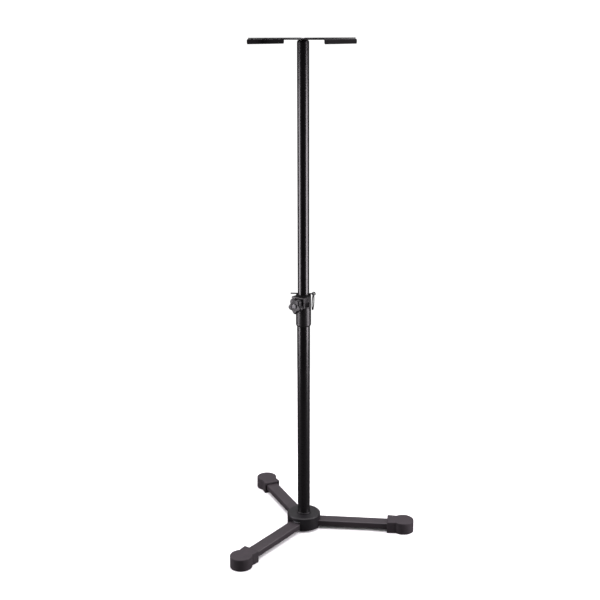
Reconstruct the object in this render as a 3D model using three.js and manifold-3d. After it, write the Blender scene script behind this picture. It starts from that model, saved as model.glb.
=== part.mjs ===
// Speaker stand: a round hub with three flat legs, a two-part tubular mast with a clamping
// collar and a safety pin, and an H-shaped support plate. Millimetres, +Z up, floor at z = 0.

import * as THREE from 'three';
import { mergeVertices } from 'three/addons/utils/BufferGeometryUtils.js';
import Module from 'manifold-3d';

const wasm = await Module();
wasm.setup();

// ---------------------------------------------------------------- driving dimensions

const gap = 0.3; // free space between neighbouring pieces
const past = 1; // how far a cutting solid runs past the face that it cuts
const round = 40; // sides of a full turn on tubes and discs
const fine = 20; // sides of a full turn on screws and pins
const cornerSteps = 4; // straight steps round a small corner

const legCount = 3;
const leg = { width: 40, height: 20, wall: 2, corner: 3, underside: 10, inner: 13, outer: 322 };
const foot = { reach: 325, radius: 34, height: 39, mouth: 273, mouthHalf: 28, neckHalf: 25.5 };
const hub = { radius: 54, bottom: 6, top: 50, wall: 3, bevel: 3, boss: 5.5, slotTop: 37, slotPlay: 1 };
const basePlate = { radius: 50, bottom: 5.5, thickness: 4.2 };
const spiderPlate = { radius: 45, thickness: 5 };
const legBolt = { radius: 3, head: 5.5, headHeight: 3, sunk: 1, spots: [27, 40] };
const centreBolt = { radius: 5, head: 9, headHeight: 4, top: 60 };

const tubePlug = { length: 30 };
const tubeRing = { width: 3, height: 4.5, chamfer: 1 };

const mainTube = { radius: 20, wall: 1.5, top: 745 };
const collar = { bottom: 686, top: 782, radius: 23.3, chamfer: 4, bore: 21.3 };
const head = { bottom: 749, front: 31, pocket: 13.4, pocketEnd: 28.5 };
const sideWindow = { centre: 13.2, width: 18, height: 14.5, recess: 4 };
const setScrew = { radius: 2.5, rise: 29, sunk: 0.2 };
const bush = { radius: 21, bore: 17.8, flange: 23, flangeHeight: 3.7 };

const clamp = { azimuth: -120, height: 757, screw: 4, screwStart: 21.5, screwEnd: 40 };
const shoe = { width: 12, height: 12, back: 21.2 };
const nut = { side: 12.8, start: 24.2, end: 28.2 };
const knob = { start: 31.6, thickness: 16, outer: 25, valley: 19, lobes: 5, bevel: 2, lobeSteps: 14 };
const knobCap = { radius: 7.5, thickness: 1.5 };

const mast = { radius: 17.5, wall: 2, bottom: 556.3, top: 1526 };
const pinHole = { radius: 3.6, first: 667, pitch: 120, count: 7 };
const guide = { radius: 18.2, height: 10, spigot: 24, bore: 8 };
const boss = { length: 31, chamfer: 3.5, rim: 1.5, height: 5, bore: 5.3, floor: 4 };

const plate = {
  turn: -17.5, width: 236, length: 256, bar: 66, bridge: 70, sheet: 3, flange: 14.5, corner: 6,
};
const pad = { thickness: 2.8, margin: 4, corner: 4 };
const plateBolt = { radius: 5, head: 9, headHeight: 2.4, bevel: 1.5, length: 24 };

const pin = { radius: 2, tip: -40, neck: 27.8, eye: 31.4, eyeRing: 4.6, eyeWire: 1.6 };
const ring = { radius: 24.8, wire: 2.1, lean: 4.5, turn: 11 };
const wireSides = 10; // sides of the wire of the pin's eye and of the ring

// heights that follow from the sizes above
const legTop = leg.underside + leg.height;
const spiderBottom = legTop + gap;
const spiderTop = spiderBottom + spiderPlate.thickness;
const bushBottom = mainTube.top + 2 * gap;
const flangeBottom = collar.top + gap;
const flangeTop = flangeBottom + bush.flangeHeight;
const pinHeight = flangeTop + gap + pin.radius;
const plateUnderside = mast.top + gap + boss.height + gap;
const plateTop = plateUnderside + plate.sheet;
const padTop = plateTop + gap + pad.thickness;

// the pole stands off the middle of the footprint, because the base has three legs
const footEnd = foot.reach + foot.radius;
const footBack = foot.reach * Math.cos(Math.PI / legCount) + foot.radius;
const poleX = (footBack - footEnd) / 2;

// ---------------------------------------------------------------- materials

function material(colour, roughness, metalness) {
  return new THREE.MeshStandardMaterial({ color: colour, roughness, metalness });
}

const powderCoat = material(0x2b292b, 0.62, 0.3);
const satinBlack = material(0x161517, 0.35, 0.4);
const mouldedBlack = material(0x2a292b, 0.6, 0.0);
const rubberGrey = material(0x2e2c2e, 0.85, 0.0);
const zincSteel = material(0x8d8f92, 0.4, 0.9);
const chromeSteel = material(0xc9cbcf, 0.15, 1.0);
const capGrey = material(0x55565a, 0.5, 0.0);
const gripRubber = material(0x1b1a1b, 0.9, 0.0);

// ---------------------------------------------------------------- solids and booleans

function toSolid(geometry) {
  const bare = geometry.clone();
  bare.deleteAttribute('normal');
  bare.deleteAttribute('uv');
  const merged = mergeVertices(bare, 1e-4);
  return new wasm.Manifold(new wasm.Mesh({
    numProp: 3,
    vertProperties: new Float32Array(merged.attributes.position.array),
    triVerts: new Uint32Array(merged.index.array),
  }));
}

function toGeometry(solid) {
  const mesh = solid.getMesh();
  const geometry = new THREE.BufferGeometry();
  geometry.setAttribute('position', new THREE.BufferAttribute(mesh.vertProperties, 3));
  geometry.setIndex(new THREE.BufferAttribute(mesh.triVerts, 1));
  const flat = geometry.toNonIndexed();
  flat.computeVertexNormals();
  return flat;
}

function cut(body, ...tools) {
  return tools.reduce((left, tool) => left.subtract(tool), body);
}

function join(...pieces) {
  return pieces.reduce((whole, piece) => whole.add(piece));
}

// a solid of revolution about Z from [radius, height] corners, closed on itself
function turned(corners, sides = round) {
  const points = [...corners, corners[0]].map(([r, z]) => new THREE.Vector2(r, z));
  const geometry = new THREE.LatheGeometry(points, sides);
  geometry.rotateX(Math.PI / 2);
  return outward(geometry);
}

// turns the triangles over where the profile was walked the other way round
function outward(geometry) {
  const solid = toSolid(geometry);
  if (solid.volume() > 0) {
    return solid;
  }
  const flipped = geometry.clone();
  const order = Array.from(flipped.index.array);
  for (let i = 0; i < order.length; i += 3) {
    [order[i], order[i + 1]] = [order[i + 1], order[i]];
  }
  flipped.setIndex(order);
  return toSolid(flipped);
}

function tube(inner, outer, low, high, sides = round) {
  return turned([[inner, low], [outer, low], [outer, high], [inner, high]], sides);
}

function rod(radius, low, high, sides = round) {
  const geometry = new THREE.CylinderGeometry(radius, radius, high - low, sides);
  geometry.rotateX(Math.PI / 2);
  geometry.translate(0, 0, (low + high) / 2);
  return toSolid(geometry);
}

function box(x, y, z) {
  const geometry = new THREE.BoxGeometry(x[1] - x[0], y[1] - y[0], z[1] - z[0]);
  geometry.translate((x[0] + x[1]) / 2, (y[0] + y[1]) / 2, (z[0] + z[1]) / 2);
  return toSolid(geometry);
}

function extruded(shape, low, high, curveSegments = cornerSteps) {
  const settings = { depth: high - low, bevelEnabled: false, curveSegments };
  const geometry = new THREE.ExtrudeGeometry(shape, settings);
  geometry.translate(0, 0, low);
  return toSolid(geometry);
}

function roundedRectangle(width, height, corner) {
  const x = width / 2;
  const y = height / 2;
  const shape = new THREE.Shape();
  shape.moveTo(-x + corner, -y);
  shape.lineTo(x - corner, -y);
  shape.absarc(x - corner, -y + corner, corner, -Math.PI / 2, 0, false);
  shape.lineTo(x, y - corner);
  shape.absarc(x - corner, y - corner, corner, 0, Math.PI / 2, false);
  shape.lineTo(-x + corner, y);
  shape.absarc(-x + corner, y - corner, corner, Math.PI / 2, Math.PI, false);
  shape.lineTo(-x, -y + corner);
  shape.absarc(-x + corner, -y + corner, corner, Math.PI, 1.5 * Math.PI, false);
  return shape;
}

// a solid drawn with its length along Z, laid down so that the length runs along +X
function laidAlongX(solid) {
  return solid.rotate([0, 90, 0]);
}

// places a clamp piece, drawn along +X at height 0, on the collar
function atClamp(solid) {
  return solid.rotate([0, 0, clamp.azimuth]).translate([0, 0, clamp.height]);
}

// ---------------------------------------------------------------- assembly helpers

const stand = new THREE.Group();
const pole = new THREE.Group();
pole.position.set(poleX, 0, 0);
stand.add(pole);

function place(parent, name, solid, look) {
  const mesh = new THREE.Mesh(toGeometry(solid), look);
  mesh.name = name;
  parent.add(mesh);
  return mesh;
}

// ---------------------------------------------------------------- base

function legSolid() {
  const outside = roundedRectangle(leg.height, leg.width, leg.corner);
  const inside = roundedRectangle(
    leg.height - 2 * leg.wall, leg.width - 2 * leg.wall, leg.corner - leg.wall);
  const skin = extruded(outside, leg.inner, leg.outer);
  const hollow = extruded(inside, leg.inner - past, leg.outer + past);
  const tubeAlongX = laidAlongX(cut(skin, hollow)).translate([0, 0, leg.underside + leg.height / 2]);
  const holes = legBolt.spots.map((x) => (
    rod(legBolt.radius + gap, 0, legTop + past, fine).translate([x, 0, 0])));
  return cut(tubeAlongX, ...holes);
}

function footSolid() {
  const meet = Math.asin(foot.neckHalf / foot.radius);
  const shape = new THREE.Shape();
  shape.moveTo(foot.mouth, foot.mouthHalf);
  shape.lineTo(foot.mouth, -foot.mouthHalf);
  shape.absarc(foot.reach, 0, foot.radius, meet - Math.PI, Math.PI - meet, false);
  const socket = box(
    [foot.mouth - past, leg.outer + gap],
    [-leg.width / 2 - gap, leg.width / 2 + gap],
    [leg.underside - gap, legTop + gap]);
  const arcSteps = 36;
  return cut(extruded(shape, 0, foot.height, arcSteps), socket);
}

function legBoltSolid() {
  const underHead = basePlate.bottom - gap;
  const tip = spiderTop - legBolt.sunk;
  return turned([
    [0, underHead - legBolt.headHeight],
    [legBolt.head, underHead - legBolt.headHeight],
    [legBolt.head, underHead],
    [legBolt.radius, underHead],
    [legBolt.radius, tip],
    [0, tip],
  ], fine);
}

function addLegs() {
  for (let i = 0; i < legCount; i += 1) {
    const arm = new THREE.Group();
    arm.rotation.z = (i * 2 * Math.PI) / legCount;
    pole.add(arm);
    place(arm, `leg_${i + 1}`, legSolid(), powderCoat);
    place(arm, `foot_cap_${i + 1}`, footSolid(), rubberGrey);
    legBolt.spots.forEach((x, k) => {
      const number = i * legBolt.spots.length + k + 1;
      place(arm, `leg_bolt_${number}`, legBoltSolid(), zincSteel).position.x = x;
    });
  }
}

function boltHoles(low, high) {
  const holes = [];
  for (let i = 0; i < legCount; i += 1) {
    for (const x of legBolt.spots) {
      const hole = rod(legBolt.radius + gap, low, high, fine).translate([x, 0, 0]);
      holes.push(hole.rotate([0, 0, (i * 360) / legCount]));
    }
  }
  return holes;
}

function drilledDisc(radius, low, high) {
  const disc = tube(centreBolt.radius + gap, radius, low, high);
  return cut(disc, ...boltHoles(low - past, high + past));
}

function hubCoverSolid() {
  const inside = hub.radius - hub.wall;
  const ceiling = hub.top - hub.wall;
  const hole = mainTube.radius + gap;
  const cup = turned([
    [hub.radius, hub.bottom],
    [hub.radius, hub.top - hub.bevel],
    [hub.radius - hub.bevel, hub.top],
    [hole, hub.top],
    [hole, spiderTop + gap],
    [hole + hub.boss, spiderTop + gap],
    [hole + hub.boss, ceiling],
    [inside, ceiling],
    [inside, hub.bottom],
  ]);
  const half = leg.width / 2 + hub.slotPlay;
  const slotStart = Math.sqrt(inside ** 2 - half ** 2) - past;
  const slots = [];
  for (let i = 0; i < legCount; i += 1) {
    const slot = box(
      [slotStart, hub.radius + past], [-half, half], [hub.bottom - past, hub.slotTop]);
    slots.push(slot.rotate([0, 0, (i * 360) / legCount]));
  }
  return cut(cup, ...slots);
}

function centreBoltSolid() {
  const underHead = basePlate.bottom - gap;
  const hexagon = rod(centreBolt.head, underHead - centreBolt.headHeight, underHead, 6);
  return join(hexagon, rod(centreBolt.radius, underHead - past, centreBolt.top, fine));
}

function addBase() {
  const plateTopFace = basePlate.bottom + basePlate.thickness;
  const tubeInside = mainTube.radius - mainTube.wall;
  const tubeFoot = spiderTop + gap;
  place(pole, 'base_plate', drilledDisc(basePlate.radius, basePlate.bottom, plateTopFace), zincSteel);
  place(pole, 'spider_plate', drilledDisc(spiderPlate.radius, spiderBottom, spiderTop), zincSteel);
  place(pole, 'hub_cover', hubCoverSolid(), mouldedBlack);
  place(pole, 'centre_bolt', centreBoltSolid(), zincSteel);
  place(pole, 'tube_plug',
    tube(centreBolt.radius + gap, tubeInside - gap, tubeFoot, tubeFoot + tubePlug.length), zincSteel);
  place(pole, 'main_tube', tube(tubeInside, mainTube.radius, tubeFoot, mainTube.top), satinBlack);
  const ringOuter = mainTube.radius + tubeRing.width;
  const ringTop = hub.top + tubeRing.height;
  place(pole, 'tube_ring', turned([
    [mainTube.radius + gap, hub.top + gap],
    [ringOuter, hub.top + gap],
    [ringOuter, ringTop - tubeRing.chamfer],
    [ringOuter - tubeRing.chamfer, ringTop],
    [mainTube.radius + gap, ringTop],
  ]), mouldedBlack);
}

// ---------------------------------------------------------------- collar and clamp

// places a set screw piece, drawn along Z, on the sleeve behind the knob
function atSetScrew(solid) {
  return laidAlongX(solid)
    .rotate([0, 0, clamp.azimuth + 180])
    .translate([0, 0, collar.bottom + setScrew.rise]);
}

// box in the side window of the head: the head's flat side faces 90 degrees from the knob
function windowBox(shrink, nearest, farthest) {
  const x = sideWindow.width / 2 - shrink;
  const z = sideWindow.height / 2 - shrink;
  return atClamp(box([sideWindow.centre - x, sideWindow.centre + x], [nearest, farthest], [-z, z]));
}

function collarSolid() {
  const sleeve = turned([
    [0, collar.bottom],
    [collar.radius - collar.chamfer / 2, collar.bottom],
    [collar.radius, collar.bottom + collar.chamfer],
    [collar.radius, collar.top],
    [0, collar.top],
  ]);
  const low = head.bottom - clamp.height;
  const high = collar.top - clamp.height;
  const block = atClamp(box([0, head.front], [-collar.radius, collar.radius], [low, high]));
  const half = head.pocket / 2;
  const pocket = atClamp(box([mast.radius - past, head.pocketEnd], [-half, half], [-half, half]));
  const screwHole = atClamp(laidAlongX(rod(clamp.screw + gap, mast.radius, head.front + past, fine)));
  const setScrewHole = atSetScrew(
    rod(setScrew.radius + gap, mainTube.radius - past, collar.radius + past, fine));
  const seat = mainTube.top + gap;
  return cut(
    join(sleeve, block),
    rod(mainTube.radius + gap, collar.bottom - past, seat),
    rod(collar.bore, seat - gap, collar.top + past),
    windowBox(0, mast.radius - past, collar.radius + past),
    pocket,
    screwHole,
    setScrewHole);
}

function guideBushSolid() {
  const liner = tube(bush.bore, bush.radius, bushBottom, flangeTop);
  const flange = tube(bush.bore, bush.flange, flangeBottom, flangeTop);
  const lug = windowBox(gap, bush.bore + gap, collar.radius - sideWindow.recess);
  const half = head.pocket / 2;
  const shoeWay = atClamp(box([0, head.front], [-half, half], [-half, half]));
  return join(cut(join(liner, flange), shoeWay), cut(lug, shoeWay));
}

function brakeShoeSolid() {
  const y = shoe.width / 2;
  const z = shoe.height / 2;
  const block = atClamp(box([0, shoe.back], [-y, y], [-z, z]));
  return cut(block, rod(mast.radius + gap, collar.bottom, collar.top));
}

function knobOutline() {
  const middle = (knob.outer + knob.valley) / 2 - knob.bevel;
  const swing = (knob.outer - knob.valley) / 2;
  const points = [];
  const steps = knob.lobes * knob.lobeSteps;
  for (let i = 0; i < steps; i += 1) {
    const angle = (i * 2 * Math.PI) / steps;
    const radius = middle + swing * Math.cos(knob.lobes * angle);
    points.push(new THREE.Vector2(radius * Math.cos(angle), radius * Math.sin(angle)));
  }
  return new THREE.Shape(points);
}

function knobSolid() {
  const geometry = new THREE.ExtrudeGeometry(knobOutline(), {
    depth: knob.thickness - 2 * knob.bevel,
    bevelEnabled: true,
    bevelThickness: knob.bevel,
    bevelSize: knob.bevel,
    bevelSegments: 2,
  });
  geometry.translate(0, 0, knob.start + knob.bevel);
  const bore = rod(clamp.screw + gap, knob.start - past, clamp.screwEnd + gap, fine);
  return atClamp(laidAlongX(cut(toSolid(geometry), bore)));
}

function addCollar() {
  const knobFace = knob.start + knob.thickness + gap;
  const half = nut.side / 2;
  place(pole, 'collar', collarSolid(), satinBlack);
  place(pole, 'guide_bush', guideBushSolid(), mouldedBlack);
  place(pole, 'collar_set_screw', atSetScrew(
    rod(setScrew.radius, mainTube.radius + 2 * gap, collar.radius - setScrew.sunk, fine)), zincSteel);
  place(pole, 'clamp_nut', atClamp(cut(
    box([nut.start, nut.end], [-half, half], [-half, half]),
    laidAlongX(rod(clamp.screw + gap, nut.start - past, nut.end + past, fine)))), zincSteel);
  place(pole, 'brake_shoe', brakeShoeSolid(), mouldedBlack);
  place(pole, 'clamp_screw',
    atClamp(laidAlongX(rod(clamp.screw, clamp.screwStart, clamp.screwEnd, fine))), zincSteel);
  place(pole, 'knob', knobSolid(), mouldedBlack);
  place(pole, 'knob_cap',
    atClamp(laidAlongX(rod(knobCap.radius, knobFace, knobFace + knobCap.thickness))), capGrey);
}

// ---------------------------------------------------------------- mast and support plate

function extensionTubeSolid() {
  const holes = [];
  for (let i = 0; i < pinHole.count; i += 1) {
    const across = laidAlongX(rod(pinHole.radius, -mast.radius - past, mast.radius + past, fine));
    holes.push(across.translate([0, 0, pinHole.first + i * pinHole.pitch]));
  }
  return cut(tube(mast.radius - mast.wall, mast.radius, mast.bottom, mast.top), ...holes);
}

function mastGuideSolid() {
  const shelf = mast.bottom - gap;
  const spigot = mast.radius - mast.wall - gap;
  return turned([
    [guide.bore, shelf - guide.height],
    [guide.radius, shelf - guide.height],
    [guide.radius, shelf],
    [spigot, shelf],
    [spigot, shelf + guide.spigot],
    [guide.bore, shelf + guide.spigot],
  ]);
}

function topBossSolid() {
  const shelf = mast.top + gap;
  const plug = mast.radius - mast.wall - gap;
  const floor = shelf - boss.length + boss.floor;
  return turned([
    [0, shelf - boss.length],
    [plug, shelf - boss.length],
    [plug, shelf],
    [mast.radius, shelf],
    [mast.radius, shelf + boss.rim],
    [mast.radius - boss.chamfer, shelf + boss.height],
    [boss.bore, shelf + boss.height],
    [boss.bore, floor],
    [0, floor],
  ]);
}

function supportPlateSolid() {
  const x = plate.width / 2;
  const y = plate.length / 2;
  const barMiddle = x - plate.bar / 2;
  const barShape = roundedRectangle(plate.bar, plate.length, plate.corner);
  const bars = [-1, 1].map((side) => (
    extruded(barShape, plateUnderside, plateTop).translate([side * barMiddle, 0, 0])));
  const flanges = [-1, 1].map((side) => {
    const reach = [side * x, side * (x - plate.sheet)].sort((a, b) => a - b);
    return box(
      reach, [plate.corner - y, y - plate.corner], [plateTop - plate.flange, plateUnderside + past]);
  });
  const bridgeHalf = plate.bridge / 2;
  const bridge = box(
    [-barMiddle, barMiddle], [-bridgeHalf, bridgeHalf], [plateUnderside, plateTop]);
  const hole = rod(plateBolt.radius + gap, plateUnderside - past, plateTop + past, fine);
  return cut(join(bridge, ...bars, ...flanges), hole);
}

function plateBoltSolid() {
  const underHead = plateTop + gap;
  return turned([
    [0, underHead - plateBolt.length],
    [plateBolt.radius, underHead - plateBolt.length],
    [plateBolt.radius, underHead],
    [plateBolt.head, underHead],
    [plateBolt.head - plateBolt.bevel, underHead + plateBolt.headHeight],
    [0, underHead + plateBolt.headHeight],
  ]);
}

function addMast() {
  place(pole, 'mast_guide', mastGuideSolid(), mouldedBlack);
  place(pole, 'extension_tube', extensionTubeSolid(), satinBlack);
  place(pole, 'top_boss', topBossSolid(), mouldedBlack);
  place(pole, 'plate_bolt', plateBoltSolid(), satinBlack);
  const deck = new THREE.Group();
  deck.rotation.z = THREE.MathUtils.degToRad(plate.turn);
  pole.add(deck);
  place(deck, 'support_plate', supportPlateSolid(), powderCoat);
  const padShape = roundedRectangle(
    plate.bar - 2 * pad.margin, plate.length - 2 * pad.margin, pad.corner);
  const padX = (plate.width - plate.bar) / 2;
  for (const [name, side] of [['grip_pad_left', -1], ['grip_pad_right', 1]]) {
    const strip = extruded(padShape, plateTop + gap, padTop);
    place(deck, name, strip, gripRubber).position.x = side * padX;
  }
}

// ---------------------------------------------------------------- safety pin

function safetyPinSolid() {
  const shank = laidAlongX(rod(pin.radius, pin.tip, pin.neck, fine));
  const torus = new THREE.TorusGeometry(pin.eyeRing, pin.eyeWire, wireSides, 24);
  torus.rotateX(Math.PI / 2);
  torus.translate(pin.eye, 0, 0);
  return join(shank, toSolid(torus));
}

function addSafetyPin() {
  place(pole, 'safety_pin', safetyPinSolid(), chromeSteel).position.z = pinHeight;
  // the ring hangs from the eye, leaning in towards the collar and turned a little
  const hanger = new THREE.Group();
  hanger.position.set(pin.eye, 0, pinHeight);
  const lean = THREE.MathUtils.degToRad(ring.lean);
  const turn = THREE.MathUtils.degToRad(ring.turn);
  hanger.rotation.set(0, lean, turn, 'ZYX');
  pole.add(hanger);
  const loop = new THREE.TorusGeometry(ring.radius, ring.wire, wireSides, 48);
  loop.rotateY(Math.PI / 2);
  const mesh = place(hanger, 'pull_ring', toSolid(loop), chromeSteel);
  mesh.position.z = -ring.radius;
}

addBase();
addLegs();
addCollar();
addMast();
addSafetyPin();

export default stand;
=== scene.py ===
"""Speaker stand: the looks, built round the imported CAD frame.

Shapes are drawn in millimetres with the pole's axis at x = 0, y = 0 and the floor at z = 0,
and finished() turns them into metres in the frame. Angles are in degrees.
"""

import math

import bmesh
import bpy
from mathutils import Matrix, Vector


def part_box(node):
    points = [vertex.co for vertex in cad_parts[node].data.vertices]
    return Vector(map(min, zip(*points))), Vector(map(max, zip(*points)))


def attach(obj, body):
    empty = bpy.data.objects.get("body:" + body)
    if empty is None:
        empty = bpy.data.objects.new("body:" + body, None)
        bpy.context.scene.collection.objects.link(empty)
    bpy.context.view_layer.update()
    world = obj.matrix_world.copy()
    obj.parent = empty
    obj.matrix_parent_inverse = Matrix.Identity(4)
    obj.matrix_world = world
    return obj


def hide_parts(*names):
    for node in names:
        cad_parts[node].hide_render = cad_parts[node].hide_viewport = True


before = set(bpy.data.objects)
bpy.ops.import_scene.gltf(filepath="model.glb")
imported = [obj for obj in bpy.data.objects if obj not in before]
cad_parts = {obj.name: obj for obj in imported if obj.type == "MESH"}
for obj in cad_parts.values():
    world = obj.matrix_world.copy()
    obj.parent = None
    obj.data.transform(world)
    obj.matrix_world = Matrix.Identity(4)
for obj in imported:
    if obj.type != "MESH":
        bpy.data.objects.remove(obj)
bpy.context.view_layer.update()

# ------------------------------------------------------------------ sizes read from the frame

MM = 0.001

POLE = Vector(((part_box("main_tube")[0].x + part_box("main_tube")[1].x) / 2, 0, 0))


def span(node):
    """lowest and highest corner of a CAD node in millimetres, with the pole's axis at x = 0"""
    low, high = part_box(node)
    return (low - POLE) / MM, (high - POLE) / MM


TUBE_LOW, TUBE_HIGH = span("main_tube")
MAST_LOW, MAST_HIGH = span("extension_tube")
COLLAR_LOW, COLLAR_HIGH = span("collar")
BUSH_LOW, BUSH_HIGH = span("guide_bush")
HUB_LOW, HUB_HIGH = span("hub_cover")
RING_LOW, RING_HIGH = span("tube_ring")
LEG_LOW, LEG_HIGH = span("leg_1")
FOOT_LOW, FOOT_HIGH = span("foot_cap_1")
BASE_LOW, BASE_HIGH = span("base_plate")
BOLT_LOW, BOLT_HIGH = span("leg_bolt_1")
CENTRE_LOW, CENTRE_HIGH = span("centre_bolt")
BOSS_LOW, BOSS_HIGH = span("top_boss")
PLATE_BOLT_LOW, PLATE_BOLT_HIGH = span("plate_bolt")
DECK_HIGH = span("support_plate")[1]
PAD_LOW, PAD_HIGH = span("grip_pad_left")
PIN_LOW, PIN_HIGH = span("safety_pin")

# ------------------------------------------------------------------ sizes of what is drawn here

GAP = 0.3
PAST = 1.0  # how far a cutter runs past the face it cuts
SIDES = 96  # sides of a full turn
FINE = 48  # sides of a full turn on screws and pins

TUBE_RADIUS = TUBE_HIGH.x
TUBE_WALL = 1.5
MAST_RADIUS = MAST_HIGH.x
MAST_WALL = 2.0
PIN_HOLE = {"radius": 3.6, "first": 667, "pitch": 120, "count": 7}

LEG_COUNT = 3
LEG = {"wall": 2.0, "corner": 3.2}
LEG_BOLT = {"radius": 3, "head_height": 3, "socket": 4, "spots": (27, 40)}
CENTRE_BOLT = {"radius": 5, "head_height": 4, "across": 15.6}
FOOT = {"reach": 325, "radius": 34, "mouth_half": 28, "neck_half": 25.5, "waist": 5, "waist_turn": 14}
FOOT_LIP = {"width": 2.8, "depth": 3.4}
HUB = {"wall": 3, "bevel": 3, "boss": 5.5, "boss_foot": 35.6}
SLOT = {"top": 37, "play": 1, "start": 45.4, "corner": 1.5}

CLAMP = {"turn": -120, "height": 757, "screw": 4, "screw_end": 40}
HEAD = {"radius": 23.3, "front": 31, "ledge": 749, "bore": 21.3, "pocket": 13.4, "pocket_end": 28.5}
WINDOW = {"centre": 13.2, "half_width": 9, "half_height": 7.25, "recess": 4, "edge": 0.5}
BUSH = {"bore": 17.8, "liner": 21, "flange": 23}
SET_SCREW = {"radius": 2.5, "height": 715, "sunk": 0.2, "socket": 2.5}
KNOB = {"back": 31.6, "front": 47.6, "outer": 25, "valley": 18.4, "lobes": 5, "fullness": 0.8}
KNOB_CAP = {"radius": 7.5, "low": 45.2, "top": 49.4}

BOSS = {"chamfer": 3.5, "rim": 1.5, "bore": 5.3, "floor": 4}
PLATE_BOLT = {"radius": 5, "socket": 5, "socket_depth": 1.8}
DECK = {"turn": -17.5, "half_width": 118, "half_length": 128, "bar": 66, "bridge": 70, "sheet": 3}
DECK_CORNER = {"outer": 6, "bar": 4, "notch": 5}
FLANGE = {"bend": 5, "depth": 14.5}
PAD = {"margin": 4, "corner": 4, "grooves": 9, "pitch": 6, "groove_radius": 0.9, "plain_end": 6}

PIN = {"radius": 2, "tip": -40, "eye": 31.4, "eye_ring": 4.6, "eye_wire": 1.6}
PULL_RING = {"radius": 24.8, "turn": 11, "lean": 4.5, "band": 1.5, "depth": 2.8, "turns": 2}

# ------------------------------------------------------------------ outlines


def circle(radius, sides=SIDES):
    """points of a circle in the plane, turning left"""
    angles = [2 * math.pi * i / sides for i in range(sides)]
    return [Vector((radius * math.cos(a), radius * math.sin(a))) for a in angles]


def hexagon(across, sides=SIDES):
    """a hexagon, by its width across the flats, with as many points as a circle"""
    points = []
    for i in range(sides):
        angle = 2 * math.pi * i / sides
        from_flat = (angle % (math.pi / 3)) - math.pi / 6
        radius = across / 2 / math.cos(from_flat)
        points.append(Vector((radius * math.cos(angle), radius * math.sin(angle))))
    return points


def filleted(corners, closed=True, steps=5):
    """rounds the corners of an outline, given as (x, y, radius)"""
    points = []
    count = len(corners)
    for i, (x, y, radius) in enumerate(corners):
        here = Vector((x, y))
        is_end = not closed and i in (0, count - 1)
        if radius == 0 or is_end:
            points.append(here)
            continue
        before = (Vector(corners[i - 1][:2]) - here).normalized()
        after = (Vector(corners[(i + 1) % count][:2]) - here).normalized()
        half = before.angle(after) / 2
        reach = radius / math.tan(half)
        centre = here + (before + after).normalized() * radius / math.sin(half)
        first = here + before * reach - centre
        last = here + after * reach - centre
        sweep = first.angle(last)
        for k in range(steps + 1):
            share = k / steps
            a = math.sin((1 - share) * sweep) / math.sin(sweep)
            b = math.sin(share * sweep) / math.sin(sweep)
            points.append(centre + first * a + last * b)
    return points


def rounded_rectangle(half_width, half_height, corner, steps=5):
    """a rectangle with round corners, turning left"""
    signs = [(1, -1), (1, 1), (-1, 1), (-1, -1)]
    corners = [(x * half_width, y * half_height, corner) for x, y in signs]
    return filleted(corners, steps=steps)


def inset(outline, distance):
    """moves an outline that turns left inwards"""
    points = []
    count = len(outline)
    for i, here in enumerate(outline):
        into = (here - outline[i - 1]).normalized()
        out = (outline[(i + 1) % count] - here).normalized()
        along = (into + out).normalized()
        points.append(here + Vector((-along.y, along.x)) * distance / max(along.dot(into), 0.5))
    return points


def divided(outline, longest):
    """adds points along the straight sides of an outline, none farther apart than a length"""
    points = []
    for i, here in enumerate(outline):
        after = outline[(i + 1) % len(outline)]
        parts = max(1, math.ceil((after - here).length / longest))
        points += [here.lerp(after, k / parts) for k in range(parts)]
    return points


# ------------------------------------------------------------------ closed meshes from rings


def flat_ring(outline, height):
    """an outline laid level at a height"""
    return [Vector((p.x, p.y, height)) for p in outline]


def upright_ring(outline, reach):
    """an outline stood up across the X axis, at x = reach"""
    return [Vector((reach, p.x, p.y)) for p in outline]


def loft(rings, hollow=False):
    """a closed mesh through rings of equally many points; a hollow one ends where it starts"""
    mesh = bmesh.new()
    rows = [[mesh.verts.new(p) for p in ring] for ring in rings]
    pairs = list(zip(rows, rows[1:]))
    if hollow:
        pairs.append((rows[-1], rows[0]))
    else:
        mesh.faces.new(reversed(rows[0]))
        mesh.faces.new(rows[-1])
    count = len(rows[0])
    for lower, upper in pairs:
        for i in range(count):
            k = (i + 1) % count
            mesh.faces.new((lower[i], lower[k], upper[k], upper[i]))
    bmesh.ops.recalc_face_normals(mesh, faces=mesh.faces)
    return mesh


def turned(profile, hollow=True, sides=SIDES):
    """a mesh turned about Z from (radius, height) points"""
    return loft([flat_ring(circle(p[0], sides), p[1]) for p in profile], hollow)


def slab(outline, low, high, low_edge, high_edge, steps=4):
    """a plate of an outline with its lower and upper edge rounded"""
    rings = []
    for radius, middle, sign in ((low_edge, low + low_edge, -1), (high_edge, high - high_edge, 1)):
        turns = [math.pi / 2 * k / steps for k in range(steps + 1)]
        if sign < 0:
            turns.reverse()
        for turn in turns:
            height = middle + sign * radius * math.sin(turn)
            rings.append(flat_ring(inset(outline, radius * (1 - math.cos(turn))), height))
    return loft(rings)


def block(low, high):
    """a plain box, for cutting"""
    corners = [(low[0], low[1]), (high[0], low[1]), (high[0], high[1]), (low[0], high[1])]
    outline = [Vector(c) for c in corners]
    return loft([flat_ring(outline, low[2]), flat_ring(outline, high[2])])


def moved(mesh, *steps):
    """moves a mesh by matrices, the first one first"""
    for step in steps:
        mesh.transform(step)
    return mesh


def turn_about(axis, degrees):
    return Matrix.Rotation(math.radians(degrees), 4, axis)


def shift(x, y, z):
    return Matrix.Translation((x, y, z))


def laid_along_x(mesh):
    """turns a mesh drawn along Z so that it runs along +X"""
    return moved(mesh, turn_about("Y", 90))


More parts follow.
